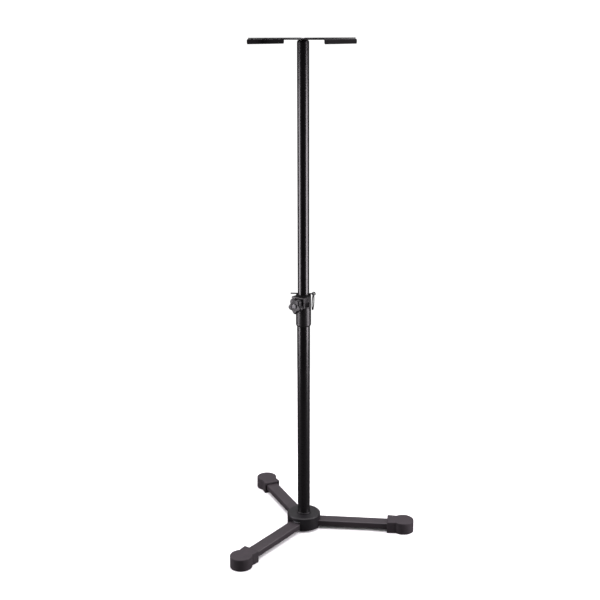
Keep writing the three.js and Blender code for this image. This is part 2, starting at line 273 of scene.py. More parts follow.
def at_clamp(mesh):
    """places a mesh, drawn along +X at height 0, on the collar"""
    return moved(mesh, turn_about("Z", CLAMP["turn"]), shift(0, 0, CLAMP["height"]))


def gathered(meshes):
    """several separate solids as one mesh"""
    whole = bmesh.new()
    for mesh in meshes:
        data = bpy.data.meshes.new("part")
        mesh.to_mesh(data)
        whole.from_mesh(data)
        bpy.data.meshes.remove(data)
        mesh.free()
    return whole


def temporary(mesh):
    """an object that holds a mesh while a modifier works on it"""
    data = bpy.data.meshes.new("part")
    mesh.to_mesh(data)
    mesh.free()
    item = bpy.data.objects.new("part", data)
    bpy.context.scene.collection.objects.link(item)
    return item


def removed(item):
    data = item.data
    bpy.data.objects.remove(item)
    bpy.data.meshes.remove(data)


def modified(mesh, kind, **settings):
    """what a modifier makes of a mesh"""
    item = temporary(mesh)
    modifier = item.modifiers.new("step", kind)
    for key, value in settings.items():
        setattr(modifier, key, value)
    result = bmesh.new()
    result.from_object(item, bpy.context.evaluated_depsgraph_get())
    removed(item)
    return result


def combined(base, tool, operation):
    """base joined with tool (UNION) or cut by it (DIFFERENCE)"""
    other = temporary(tool)
    result = modified(base, "BOOLEAN", operation=operation, solver="EXACT", object=other)
    removed(other)
    bmesh.ops.remove_doubles(result, verts=result.verts, dist=0.001)
    return result


def cut(base, *tools):
    for tool in tools:
        base = combined(base, tool, "DIFFERENCE")
    return base


# ------------------------------------------------------------------ finished pieces

SHARP = math.radians(33)


def finished(name, mesh, body, nodes, slot, look=None):
    """puts a mesh in the frame as a smooth piece that rides on a body and replaces CAD nodes"""
    mesh.transform(Matrix.Translation(POLE) @ Matrix.Diagonal((MM, MM, MM, 1)))
    for face in mesh.faces:
        face.smooth = True
    for edge in mesh.edges:
        edge.smooth = edge.is_manifold and edge.calc_face_angle(0) < SHARP
    data = bpy.data.meshes.new(name)
    mesh.to_mesh(data)
    mesh.free()
    data.materials.append(LOOKS[look or slot])
    piece = bpy.data.objects.new(name, data)
    bpy.context.scene.collection.objects.link(piece)
    normals = piece.modifiers.new("normals", "WEIGHTED_NORMAL")
    normals.keep_sharp = True
    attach(piece, body)
    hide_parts(*nodes)
    return piece


# ------------------------------------------------------------------ materials


class Look:
    """a principled material with helpers for its node graph"""

    def __init__(self, name, metallic=0.0, specular=0.5):
        self.material = bpy.data.materials.new(name)
        self.material.use_nodes = True
        self.nodes = self.material.node_tree.nodes
        self.links = self.material.node_tree.links
        self.shader = self.nodes["Principled BSDF"]
        self.shader.inputs["Metallic"].default_value = metallic
        self.shader.inputs["Specular IOR Level"].default_value = specular
        self.place = self.nodes.new("ShaderNodeTexCoord").outputs["Object"]

    def noise(self, size, detail=3, stretch=(1, 1, 1)):
        """noise with features of a size in millimetres, stretched along the axes"""
        mapping = self.nodes.new("ShaderNodeMapping")
        mapping.inputs["Scale"].default_value = [1 / (size * MM * s) for s in stretch]
        self.links.new(self.place, mapping.inputs["Vector"])
        noise = self.nodes.new("ShaderNodeTexNoise")
        noise.inputs["Scale"].default_value = 1
        noise.inputs["Detail"].default_value = detail
        self.links.new(mapping.outputs["Vector"], noise.inputs["Vector"])
        return noise.outputs["Fac"]

    def between(self, factor, low, high, start=0.3, end=0.7):
        """a number that goes from low to high as the factor goes from start to end"""
        step = self.nodes.new("ShaderNodeMapRange")
        for key, value in (("From Min", start), ("From Max", end), ("To Min", low), ("To Max", high)):
            step.inputs[key].default_value = value
        self.links.new(factor, step.inputs["Value"])
        return step.outputs["Result"]

    def colour(self, factor, low, high, start=0.3, end=0.7):
        """base colour from low to high as the factor goes from start to end"""
        ramp = self.nodes.new("ShaderNodeValToRGB")
        ramp.color_ramp.elements[0].position = start
        ramp.color_ramp.elements[1].position = end
        ramp.color_ramp.elements[0].color = (*low, 1)
        ramp.color_ramp.elements[1].color = (*high, 1)
        self.links.new(factor, ramp.inputs["Fac"])
        self.links.new(ramp.outputs["Color"], self.shader.inputs["Base Color"])

    def roughness(self, factor, low, high):
        self.links.new(self.between(factor, low, high), self.shader.inputs["Roughness"])

    def plus(self, first, second, share):
        """first plus share times second"""
        step = self.nodes.new("ShaderNodeMath")
        step.operation = "MULTIPLY_ADD"
        step.inputs[1].default_value = share
        self.links.new(second, step.inputs[0])
        self.links.new(first, step.inputs[2])
        return step.outputs["Value"]

    def bump(self, height, depth, strength=1.0):
        """relief of a depth in millimetres"""
        step = self.nodes.new("ShaderNodeBump")
        step.inputs["Strength"].default_value = strength
        step.inputs["Distance"].default_value = depth * MM
        self.links.new(height, step.inputs["Height"])
        self.links.new(step.outputs["Normal"], self.shader.inputs["Normal"])


def powder_coat():
    """fine-textured charcoal powder coat of the legs"""
    look = Look("powder_coat", specular=0.45)
    grain = look.noise(0.9, detail=2)
    cloud = look.noise(60)
    look.colour(look.plus(cloud, grain, 0.5), (0.013, 0.0095, 0.012), (0.028, 0.022, 0.026), 0.4, 1.0)
    look.roughness(grain, 0.46, 0.62)
    look.bump(grain, 0.03, 0.5)
    return look.material


def satin_black():
    """satin black paint of both mast tubes, with a faint drawn grain along them"""
    look = Look("satin_black", specular=0.5)
    peel = look.noise(3.0, detail=2)
    drawn = look.noise(1.2, detail=2, stretch=(1, 1, 60))
    look.colour(look.noise(45), (0.002, 0.0016, 0.002), (0.004, 0.0034, 0.004))
    look.roughness(look.plus(peel, drawn, 0.6), 0.20, 0.28)
    look.bump(look.plus(peel, drawn, 0.35), 0.006, 0.2)
    return look.material


def collar_paint():
    """satin paint of the cast collar, a little lighter and rougher than the tubes"""
    look = Look("collar_paint", specular=0.5)
    grain = look.noise(1.6, detail=2)
    look.colour(look.noise(18), (0.003, 0.0024, 0.003), (0.007, 0.006, 0.007))
    look.roughness(grain, 0.36, 0.44)
    look.bump(grain, 0.012, 0.3)
    return look.material


def plate_paint():
    """matt black powder coat of the support plate, darker than the legs"""
    look = Look("plate_paint", specular=0.15)
    grain = look.noise(0.9, detail=2)
    mottle = look.plus(look.noise(40), grain, 0.5)
    look.colour(mottle, (0.003, 0.0026, 0.003), (0.008, 0.007, 0.008), 0.4, 1.0)
    look.roughness(grain, 0.46, 0.6)
    look.bump(grain, 0.02, 0.4)
    return look.material


def liner_black_painted_shade():
    """black nylon of the collar's liner, darker and duller than the moulded black: painted shade, so that
    the lug sunk in the side window reads as a dark recess
    """
    look = Look("liner_black_painted_shade", specular=0.1)
    grain = look.noise(0.8, detail=2)
    look.colour(look.noise(8), (0.0015, 0.0014, 0.0016), (0.003, 0.0028, 0.003))
    look.roughness(grain, 0.5, 0.65)
    look.bump(grain, 0.01, 0.3)
    return look.material


def moulded_black():
    """moulded black plastic with a spark-eroded grain"""
    look = Look("moulded_black", specular=0.4)
    grain = look.noise(0.7, detail=2)
    mottle = look.plus(look.noise(25), grain, 0.3)
    look.colour(mottle, (0.005, 0.0045, 0.0055), (0.011, 0.010, 0.0115), 0.4, 0.9)
    look.roughness(grain, 0.34, 0.46)
    look.bump(grain, 0.02, 0.4)
    return look.material


def cap_grey():
    """satin grey plastic of the knob's cap"""
    look = Look("cap_grey", specular=0.5)
    grain = look.noise(0.5, detail=2)
    look.colour(look.noise(6), (0.085, 0.088, 0.092), (0.12, 0.122, 0.128))
    look.roughness(grain, 0.34, 0.46)
    look.bump(grain, 0.02, 0.4)
    return look.material


def foot_rubber():
    """matt dark grey rubber of the foot caps, with a dusty mottle"""
    look = Look("foot_rubber", specular=0.35)
    grain = look.noise(0.8, detail=3)
    dust = look.noise(14, detail=5)
    look.colour(look.plus(dust, grain, 0.35), (0.017, 0.013, 0.016), (0.030, 0.024, 0.028), 0.4, 0.95)
    look.roughness(dust, 0.62, 0.78)
    look.bump(grain, 0.06, 0.7)
    return look.material


def grip_rubber():
    """matt black rubber of the pads"""
    look = Look("grip_rubber", specular=0.3)
    grain = look.noise(0.6, detail=3)
    look.colour(look.noise(10, detail=4), (0.010, 0.010, 0.010), (0.018, 0.017, 0.018))
    look.roughness(grain, 0.7, 0.85)
    look.bump(grain, 0.05, 0.7)
    return look.material


def zinc_steel():
    """zinc-plated steel with a cloudy plating"""
    look = Look("zinc_steel", metallic=1.0)
    cloud = look.noise(5, detail=5)
    grain = look.noise(0.4, detail=2)
    look.colour(cloud, (0.42, 0.43, 0.45), (0.60, 0.61, 0.62))
    look.roughness(look.plus(cloud, grain, 0.4), 0.30, 0.46)
    look.bump(grain, 0.01, 0.5)
    return look.material


def steel_painted_dark_reflection():
    """steel of the safety pin and its ring, rubbed brighter in places; its near-black colour is a painted
    reflection of dark surroundings in place of bright chrome
    """
    look = Look("steel_painted_dark_reflection", specular=0.2)
    marks = look.noise(4.0, detail=5)
    look.colour(marks, (0.004, 0.004, 0.004), (0.016, 0.015, 0.016), 0.35, 0.75)
    look.roughness(marks, 0.3, 0.44)
    look.bump(marks, 0.004, 0.4)
    return look.material


LOOKS = {
    "powder_coat": powder_coat(),
    "satin_black": satin_black(),
    "collar_paint": collar_paint(),
    "plate_paint": plate_paint(),
    "liner_black_painted_shade": liner_black_painted_shade(),
    "moulded_black": moulded_black(),
    "cap_grey": cap_grey(),
    "foot_rubber": foot_rubber(),
    "grip_rubber": grip_rubber(),
    "zinc_steel": zinc_steel(),
    "steel_painted_dark_reflection": steel_painted_dark_reflection(),
}

# ------------------------------------------------------------------ base


def leg_mesh():
    """rectangular steel tube, drilled for its two bolts"""
    half_width = LEG_HIGH.y
    half_height = (LEG_HIGH.z - LEG_LOW.z) / 2
    corner = LEG["corner"]
    wall = LEG["wall"]
    outside = rounded_rectangle(half_width, half_height, corner)
    inside = rounded_rectangle(half_width - wall, half_height - wall, corner - wall)
    tube = loft([
        upright_ring(outside, LEG_LOW.x),
        upright_ring(outside, LEG_HIGH.x),
        upright_ring(inside, LEG_HIGH.x),
        upright_ring(inside, LEG_LOW.x),
    ], hollow=True)
    moved(tube, shift(0, 0, LEG_LOW.z + half_height))
    holes = []
    for spot in LEG_BOLT["spots"]:
        hole = turned([(LEG_BOLT["radius"] + GAP, 0), (LEG_BOLT["radius"] + GAP, LEG_HIGH.z + PAST)],
                      hollow=False, sides=FINE)
        holes.append(moved(hole, shift(spot, 0, 0)))
    return cut(tube, gathered(holes))


def foot_outline():
    """round puck with a neck that widens to its mouth"""
    mouth = FOOT_LOW.x
    waist = math.degrees(math.asin(FOOT["neck_half"] / FOOT["radius"]))
    start = waist - 180 + FOOT["waist_turn"]
    steps = 60
    arc = []
    for i in range(steps + 1):
        angle = math.radians(start - 2 * start * i / steps)
        x = FOOT["reach"] + FOOT["radius"] * math.cos(angle)
        arc.append((x, FOOT["radius"] * math.sin(angle), 0))
    neck = FOOT["reach"] - math.sqrt(FOOT["radius"] ** 2 - FOOT["neck_half"] ** 2)
    lower = [(mouth, -FOOT["mouth_half"], 3), (neck, -FOOT["neck_half"], FOOT["waist"])]
    upper = [(x, -y, radius) for x, y, radius in reversed(lower)]
    return filleted(upper + lower + arc)


def foot_mesh():
    """rubber cap: a solid puck with a socket for the leg and a relieved lip round the socket"""
    body = slab(foot_outline(), FOOT_LOW.z, FOOT_HIGH.z, low_edge=1.5, high_edge=3)
    half_width = LEG_HIGH.y + GAP
    half_height = (LEG_HIGH.z - LEG_LOW.z) / 2 + GAP
    rings = []
    slope = FOOT_LIP["width"] / FOOT_LIP["depth"]
    for reach, extra in (
            (FOOT_LOW.x - PAST, FOOT_LIP["width"] + slope * PAST),
            (FOOT_LOW.x + FOOT_LIP["depth"], 0),
            (LEG_HIGH.x + GAP, 0)):
        outline = rounded_rectangle(half_width + extra, half_height + extra, LEG["corner"])
        rings.append(upright_ring(outline, reach))
    socket = moved(loft(rings), shift(0, 0, (LEG_HIGH.z + LEG_LOW.z) / 2))
    return cut(body, socket)


def leg_bolt_mesh():
    """button-head bolt, its head below the base plate, with a hexagon socket"""
    head = BOLT_HIGH.y
    under_head = BOLT_LOW.z + LEG_BOLT["head_height"]
    socket = hexagon(LEG_BOLT["socket"], FINE)
    rings = [flat_ring(socket, BOLT_LOW.z + LEG_BOLT["head_height"] - 1), flat_ring(socket, BOLT_LOW.z)]
    profile = filleted([
        (head - 1.2, BOLT_LOW.z, 0),
        (head, BOLT_LOW.z + 1.2, 0.8),
        (head, under_head, 0.3),
        (LEG_BOLT["radius"], under_head, 0.3),
        (LEG_BOLT["radius"], BOLT_HIGH.z - 0.6, 0),
        (LEG_BOLT["radius"] - 0.6, BOLT_HIGH.z, 0),
    ], closed=False)
    rings += [flat_ring(circle(radius, FINE), height) for radius, height in profile]
    return loft(rings)


def centre_bolt_mesh():
    """hexagon-head bolt from below into the pole's plug"""
    across = CENTRE_BOLT["across"]
    under_head = CENTRE_LOW.z + CENTRE_BOLT["head_height"]
    radius = CENTRE_BOLT["radius"]
    rings = [
        flat_ring(circle(across / 2 - 0.6), CENTRE_LOW.z),
        flat_ring(hexagon(across), CENTRE_LOW.z + 0.9),
        flat_ring(hexagon(across), under_head),
    ]
    rings += [flat_ring(circle(r), z) for r, z in (
        (radius, under_head), (radius, CENTRE_HIGH.z - 1), (radius - 1, CENTRE_HIGH.z))]
    return loft(rings)


def base_plate_mesh():
    """round steel plate under the legs, drilled for the bolts"""
    plate = turned(filleted([
        (CENTRE_BOLT["radius"] + GAP, BASE_LOW.z, 0.3),
        (BASE_HIGH.y, BASE_LOW.z, 0.8),
        (BASE_HIGH.y, BASE_HIGH.z, 0.8),
        (CENTRE_BOLT["radius"] + GAP, BASE_HIGH.z, 0.3),
    ]))
    holes = []
    for i in range(LEG_COUNT):
        for spot in LEG_BOLT["spots"]:
            hole = turned([(LEG_BOLT["radius"] + GAP, BASE_LOW.z - PAST),
                           (LEG_BOLT["radius"] + GAP, BASE_HIGH.z + PAST)], hollow=False, sides=FINE)
            holes.append(moved(hole, shift(spot, 0, 0), turn_about("Z", 360 / LEG_COUNT * i)))
    return cut(plate, gathered(holes))


def hub_cover_mesh():
    """moulded cup with three slots for the legs and a boss round the pole's foot"""
    outer = HUB_HIGH.y
    top = HUB_HIGH.z
    wall = HUB["wall"]
    hole = TUBE_RADIUS + GAP
    floor = HUB["boss_foot"]
    cup = turned(filleted([
        (outer, HUB_LOW.z, 0.8),
        (outer, top - HUB["bevel"], 1.2),
        (outer - HUB["bevel"], top, 1.2),
        (hole, top, 0.8),
        (hole, floor, 0.5),
        (hole + HUB["boss"], floor, 0.5),
        (hole + HUB["boss"], top - wall, 1),
        (outer - wall, top - wall, 2),
        (outer - wall, HUB_LOW.z, 0.8),
    ], steps=4))
    half_height = (SLOT["top"] - HUB_LOW.z + PAST + SLOT["corner"]) / 2
    outline = rounded_rectangle(LEG_HIGH.y + SLOT["play"], half_height, SLOT["corner"])
    slots = []
    for i in range(LEG_COUNT):
        slot = loft([upright_ring(outline, SLOT["start"]), upright_ring(outline, outer + PAST)])
        moved(slot, shift(0, 0, SLOT["top"] - half_height), turn_about("Z", 360 / LEG_COUNT * i))
        slots.append(slot)
    return cut(cup, gathered(slots))


def main_tube_mesh():
    return turned(filleted([
        (TUBE_RADIUS - TUBE_WALL, TUBE_LOW.z, 0.3),
        (TUBE_RADIUS, TUBE_LOW.z, 0.5),
        (TUBE_RADIUS, TUBE_HIGH.z, 0.5),
        (TUBE_RADIUS - TUBE_WALL, TUBE_HIGH.z, 0.3),
    ]))


def tube_ring_mesh():
    """moulded ring that hides the gap between the pole and the hub"""
    return turned(filleted([
        (TUBE_RADIUS + GAP, RING_LOW.z, 0.2),
        (RING_HIGH.y, RING_LOW.z, 0.3),
        (RING_HIGH.y, RING_HIGH.z, 1.2),
        (TUBE_RADIUS + GAP, RING_HIGH.z, 0.4),
    ]))


def add_base():
    finished("pole_lower_tube", main_tube_mesh(), "base", ["main_tube"], "satin_black")
    finished("pole_foot_ring", tube_ring_mesh(), "base", ["tube_ring"], "moulded_black")
    finished("hub_shell", hub_cover_mesh(), "base", ["hub_cover"], "moulded_black")
    finished("hub_base_plate", base_plate_mesh(), "base", ["base_plate"], "zinc_steel")
    finished("hub_centre_bolt", centre_bolt_mesh(), "base", ["centre_bolt"], "zinc_steel")
    for i in range(LEG_COUNT):
        turn = turn_about("Z", 360 / LEG_COUNT * i)
        number = i + 1
        finished(f"leg_tube_{number}", moved(leg_mesh(), turn), "base", [f"leg_{number}"], "powder_coat")
        finished(f"rubber_foot_{number}", moved(foot_mesh(), turn), "base",
                 [f"foot_cap_{number}"], "foot_rubber")
        for k, spot in enumerate(LEG_BOLT["spots"]):
            number = i * len(LEG_BOLT["spots"]) + k + 1
            bolt = moved(leg_bolt_mesh(), shift(spot, 0, 0), turn)
            finished(f"leg_screw_{number}", bolt, "base", [f"leg_bolt_{number}"], "zinc_steel")


# ------------------------------------------------------------------ collar and clamp


def head_outline():
    """plan of the head: half round behind, straight sides and a flat front"""
    radius = HEAD["radius"]
    steps = 48
    arc = []
    for i in range(steps + 1):
        angle = math.radians(90 + 180 * i / steps)
        arc.append((radius * math.cos(angle), radius * math.sin(angle), 0))
    outline = filleted([(HEAD["front"], -radius, 2.5), (HEAD["front"], radius, 2.5)] + arc)
    return divided(outline, 1.5)


def farther(first, second):
    """of each pair of points, the one farther from the axis"""
    return [a if a.length > b.length else b for a, b in zip(first, second)]


def collar_body():
    """sleeve on the pole with the clamp's head grown out of its upper end"""
    head = head_outline()
    sleeve = HEAD["radius"]
    ledge = HEAD["ledge"] - CLAMP["height"]
    low = COLLAR_LOW.z - CLAMP["height"]
    high = COLLAR_HIGH.z - CLAMP["height"]
    seat = TUBE_HIGH.z + GAP - CLAMP["height"]

    def round_ring(radius, height):
        return flat_ring([p.normalized() * radius for p in head], height)

    wall = [p.normalized() * sleeve for p in head]
    rings = [
        round_ring(sleeve - 2.6, low),
        round_ring(sleeve - 2.0, low + 0.3),
        round_ring(sleeve - 0.3, low + 3.6),
        round_ring(sleeve, low + 4.4),
        flat_ring(wall, ledge),
    ]
    rings += [flat_ring(farther(inset(head, inward), wall), ledge + rise)
              for inward, rise in ((1.2, 0), (0.35, 0.35), (0, 1.2))]
    rings += [flat_ring(inset(head, inward), high - drop)
              for inward, drop in ((0, 1.2), (0.35, 0.35), (1.2, 0))]
    rings += [
        round_ring(HEAD["bore"], high),
        round_ring(HEAD["bore"], seat),
        round_ring(TUBE_RADIUS + GAP, seat),
        round_ring(TUBE_RADIUS + GAP, low),
    ]
    return loft(rings, hollow=True)


def window_cutter():
    """opening through the head's side, its outer edge chamfered"""
    rings = []
    side = HEAD["radius"]
    for reach, extra in (
            (MAST_RADIUS - PAST, 0),
            (side - WINDOW["edge"], 0),
            (side + PAST, WINDOW["edge"] + PAST)):
        outline = rounded_rectangle(WINDOW["half_width"] + extra, WINDOW["half_height"] + extra, 1.5)
        rings.append([Vector((WINDOW["centre"] - p.x, reach, p.y)) for p in outline])
    return loft(rings)


def collar_mesh():
    half = HEAD["pocket"] / 2
    pocket = block((MAST_RADIUS - PAST, -half, -half), (HEAD["pocket_end"], half, half))
    radius = CLAMP["screw"] + GAP
    screw = laid_along_x(turned([(radius, MAST_RADIUS), (radius, HEAD["front"] + PAST)], False, FINE))
    radius = SET_SCREW["radius"] + GAP
    set_screw = laid_along_x(
        turned([(radius, TUBE_RADIUS - PAST), (radius, HEAD["radius"] + PAST)], False, FINE))
    moved(set_screw, turn_about("Z", 180), shift(0, 0, SET_SCREW["height"] - CLAMP["height"]))
    return at_clamp(cut(collar_body(), window_cutter(), pocket, screw, set_screw))


def set_screw_mesh():
    """grub screw with a hexagon socket, sunk in the sleeve"""
    end = HEAD["radius"] - SET_SCREW["sunk"]
    radius = SET_SCREW["radius"]
    socket = hexagon(SET_SCREW["socket"], FINE)
    rings = [flat_ring(circle(r, FINE), z) for r, z in (
        (radius - 0.4, TUBE_RADIUS + 2 * GAP), (radius, TUBE_RADIUS + 3 * GAP),
        (radius, end - 0.4), (radius - 0.4, end))]
    rings += [flat_ring(socket, end), flat_ring(socket, end - 1.2)]
    screw = laid_along_x(loft(rings))
    return moved(screw, turn_about("Z", CLAMP["turn"] + 180), shift(0, 0, SET_SCREW["height"]))


def guide_bush_mesh():
    """flanged plastic liner of the collar with a lug in the side window"""
    sleeve = turned(filleted([
        (BUSH["bore"], BUSH_LOW.z, 0.4),
        (BUSH["liner"], BUSH_LOW.z, 0.4),
        (BUSH["liner"], COLLAR_HIGH.z + GAP, 0),
        (BUSH["flange"], COLLAR_HIGH.z + GAP, 0.4),
        (BUSH["flange"], BUSH_HIGH.z, 1.4),
        (BUSH["bore"], BUSH_HIGH.z, 0.8),
    ]))
    half_width = WINDOW["half_width"] - GAP
    half_height = WINDOW["half_height"] - GAP
    lug = at_clamp(block(
        (WINDOW["centre"] - half_width, BUSH["bore"] + GAP, -half_height),
        (WINDOW["centre"] + half_width, HEAD["radius"] - WINDOW["recess"], half_height)))
    half = HEAD["pocket"] / 2
    shoe_way = at_clamp(block((0, -half, -half), (HEAD["front"], half, half)))
    return cut(combined(sleeve, lug, "UNION"), shoe_way)


def knob_ring(reach, circle_radius, share, inward=0.0):
    """section of the knob: a circle at share 0, all five lobes at share 1"""
    outline = []
    steps = 24 * KNOB["lobes"]
    for i in range(steps):
        angle = 2 * math.pi * i / steps
        swell = (0.5 + 0.5 * math.cos(KNOB["lobes"] * angle)) ** KNOB["fullness"]
        lobed = KNOB["valley"] + (KNOB["outer"] - KNOB["valley"]) * swell
        radius = circle_radius * (1 - share) + (lobed - inward) * share
        outline.append(Vector((radius * math.cos(angle), radius * math.sin(angle))))
    return flat_ring(outline, reach)


def knob_mesh():
    """five-lobed knob with a hub behind, a dished front and a groove round its cap"""
    back = KNOB["back"]
    front = KNOB["front"]
    bore = CLAMP["screw"] + GAP
    rings = [
        knob_ring(CLAMP["screw_end"] + GAP, bore, 0),
        knob_ring(back + 0.5, bore, 0),
        knob_ring(back, bore + 0.5, 0),
        knob_ring(back, 11.5, 0),
        knob_ring(back + 0.6, 12.4, 0),
        knob_ring(back + 2.2, 12.8, 0),
    ]
    rings += [knob_ring(back + 2.2 + rise, 0, 1, inward)
              for rise, inward in ((0, 2.2), (0.5, 0.9), (1.3, 0.2), (2.2, 0))]
    rings += [knob_ring(front - drop, 0, 1, inward)
              for drop, inward in ((4.5, 0), (3.2, 0.3), (2.0, 0.9), (1.0, 1.9), (0.3, 3.2), (0, 4.6))]
    rings += [knob_ring(reach, radius, 0) for reach, radius in (
        (front - 0.1, 13.2), (front - 0.5, 12.6), (front - 1.1, 12.2), (front - 1.2, 10.6),
        (front - 1.2, 9.8), (front - 1.4, 9.6), (front - 2.6, 9.5), (front - 2.7, 9.2),
        (front - 2.7, 6.0))]
    return at_clamp(laid_along_x(loft(rings)))


def knob_cap_mesh():
    """domed round cap over the knob's screw"""
    low = KNOB_CAP["low"]
    high = KNOB_CAP["top"]
    radius = KNOB_CAP["radius"]
    profile = [(radius - 0.3, low), (radius, low + 0.3), (radius, high - 1.2), (radius - 0.3, high - 0.6),
               (radius - 1.0, high - 0.25), (radius - 2.2, high - 0.1), (radius * 0.4, high)]
    return at_clamp(laid_along_x(turned(profile, hollow=False)))


def add_collar():
    finished("clamp_collar", collar_mesh(), "base", ["collar"], "satin_black", look="collar_paint")
    # the bush's darker liner colour is painted shade for the recess of the side window
    finished("collar_bush", guide_bush_mesh(), "base", ["guide_bush"], "moulded_black", look="liner_black_painted_shade")
    finished("collar_grub_screw", set_screw_mesh(), "base", ["collar_set_screw"], "zinc_steel")
    finished("clamp_knob_grip", knob_mesh(), "clamp_knob", ["knob"], "moulded_black")
    finished("clamp_knob_badge", knob_cap_mesh(), "clamp_knob", ["knob_cap"], "cap_grey")


# ------------------------------------------------------------------ mast


def extension_tube_mesh():
    """upper tube with its row of holes for the safety pin"""
    tube = turned(filleted([
        (MAST_RADIUS - MAST_WALL, MAST_LOW.z, 0.4),
        (MAST_RADIUS, MAST_LOW.z, 0.6),
        (MAST_RADIUS, MAST_HIGH.z, 0.4),
        (MAST_RADIUS - MAST_WALL, MAST_HIGH.z, 0.4),
    ]))
    reach = MAST_RADIUS + PAST
    radius = PIN_HOLE["radius"]
    holes = []
    for i in range(PIN_HOLE["count"]):
        hole = laid_along_x(turned([(radius, -reach), (radius, reach)], False, FINE))
        holes.append(moved(hole, shift(0, 0, PIN_HOLE["first"] + i * PIN_HOLE["pitch"])))
    return cut(tube, gathered(holes))


def top_boss_mesh():
    """plug in the mast's upper end with a chamfered shoulder"""
    plug = MAST_RADIUS - MAST_WALL - GAP
    shelf = MAST_HIGH.z + GAP
    profile = filleted([
        (plug - 1, BOSS_LOW.z, 0),
        (plug, BOSS_LOW.z + 1, 0.5),
        (plug, shelf, 0),
        (MAST_RADIUS, shelf, 0.3),
        (MAST_RADIUS, shelf + BOSS["rim"], 0.8),
        (MAST_RADIUS - BOSS["chamfer"], BOSS_HIGH.z, 0.8),
        (BOSS["bore"], BOSS_HIGH.z, 0.5),
        (BOSS["bore"], BOSS_LOW.z + BOSS["floor"], 0),
    ], closed=False)
    return turned(profile, hollow=False)


def plate_bolt_mesh():
    """button-head bolt through the plate, with a hexagon socket"""
    head = PLATE_BOLT_HIGH.y
    top = PLATE_BOLT_HIGH.z
    under_head = DECK_HIGH.z + GAP
    radius = PLATE_BOLT["radius"]
    socket = hexagon(PLATE_BOLT["socket"])
    profile = filleted([
        (radius - 0.8, PLATE_BOLT_LOW.z, 0),
        (radius, PLATE_BOLT_LOW.z + 0.8, 0),
        (radius, under_head, 0),
        (head, under_head, 0.3),
        (head, under_head + 0.9, 0.4),
        (head - 2.5, top, 1),
        (PLATE_BOLT["socket"] / 2 + 1.2, top, 0),
    ], closed=False)
    rings = [flat_ring(circle(r), z) for r, z in profile]
    rings += [flat_ring(socket, top - 0.2), flat_ring(socket, top - PLATE_BOLT["socket_depth"])]
    return loft(rings)


def deck_outline():
    """plan of the H-shaped plate inside its two folds, turning left"""
    fold = DECK["half_width"] - FLANGE["bend"]
    length = DECK["half_length"]
    inside = DECK["half_width"] - DECK["bar"]
    bridge = DECK["bridge"] / 2
    outer, bar, notch = DECK_CORNER["outer"], DECK_CORNER["bar"], DECK_CORNER["notch"]
    return filleted([
        (fold, -length, outer), (fold, length, outer),
        (inside, length, bar), (inside, bridge, notch),
        (-inside, bridge, notch), (-inside, length, bar),
        (-fold, length, outer), (-fold, -length, outer),
        (-inside, -length, bar), (-inside, -bridge, notch),
        (inside, -bridge, notch), (inside, -length, bar),
    ])


def fold_rows():
    """(reach, drop, half length) of the rows of points down a folded edge"""
    bend = FLANGE["bend"]
    depth = FLANGE["depth"]
    half = DECK["half_length"] - DECK_CORNER["outer"]
    steps = 6
    rows = []
    for k in range(1, steps + 1):
        turn = math.pi / 2 * k / steps
        reach = DECK["half_width"] - bend * (1 - math.sin(turn))
        rows.append((reach, bend * (1 - math.cos(turn)), half))
    for rise, shrink in ((5, 0), (2.5, 0.7), (1, 2.2), (0, 4.8)):
        rows.append((DECK["half_width"], depth - rise, half - shrink))
    return rows


def deck_mesh():
    """one bent sheet: a flat H whose two long outer edges fold down as flanges"""
    top = DECK_HIGH.z
    mesh = bmesh.new()
    skin = [mesh.verts.new((p.x, p.y, top)) for p in deck_outline()]
    mesh.faces.new(skin)
    fold = DECK["half_width"] - FLANGE["bend"]
    for side in (-1, 1):
        row = sorted((v for v in skin if abs(v.co.x - side * fold) < 0.01), key=lambda v: v.co.y * side)
        for reach, drop, half in fold_rows():
            lower = [mesh.verts.new((side * reach, side * end * half, top - drop)) for end in (-1, 1)]
            mesh.faces.new((row[0], lower[0], lower[1], row[1]))
            row = lower
    bmesh.ops.recalc_face_normals(mesh, faces=mesh.faces)
    if mesh.faces[:][0].normal.z < 0:
        bmesh.ops.reverse_faces(mesh, faces=mesh.faces)
    sheet = modified(mesh, "SOLIDIFY", thickness=DECK["sheet"], offset=-1, use_even_offset=True)
    softened = modified(sheet, "BEVEL", width=0.5, segments=2, limit_method="ANGLE",
                        angle_limit=math.radians(60))
    radius = PLATE_BOLT["radius"] + GAP
    hole = turned([(radius, top - DECK["sheet"] - PAST), (radius, top + PAST)], hollow=False)
    return cut(softened, hole)


def pad_mesh():
    """rubber strip with grooves along its length"""
    half_width = DECK["bar"] / 2 - PAD["margin"]
    half_length = DECK["half_length"] - PAD["margin"]
    strip = slab(rounded_rectangle(half_width, half_length, PAD["corner"]), PAD_LOW.z, PAD_HIGH.z, 0.3, 0.8)
    half_groove = half_length - PAD["plain_end"]
    grooves = []
    for i in range(PAD["grooves"]):
        radius = PAD["groove_radius"]
        groove = turned([(radius * 0.4, -half_groove), (radius, 0.6 - half_groove),
                         (radius, half_groove - 0.6), (radius * 0.4, half_groove)], False, 24)
        side = (i - (PAD["grooves"] - 1) / 2) * PAD["pitch"]
        grooves.append(moved(groove, turn_about("X", 90), shift(side, 0, PAD_HIGH.z)))
    return cut(strip, gathered(grooves))


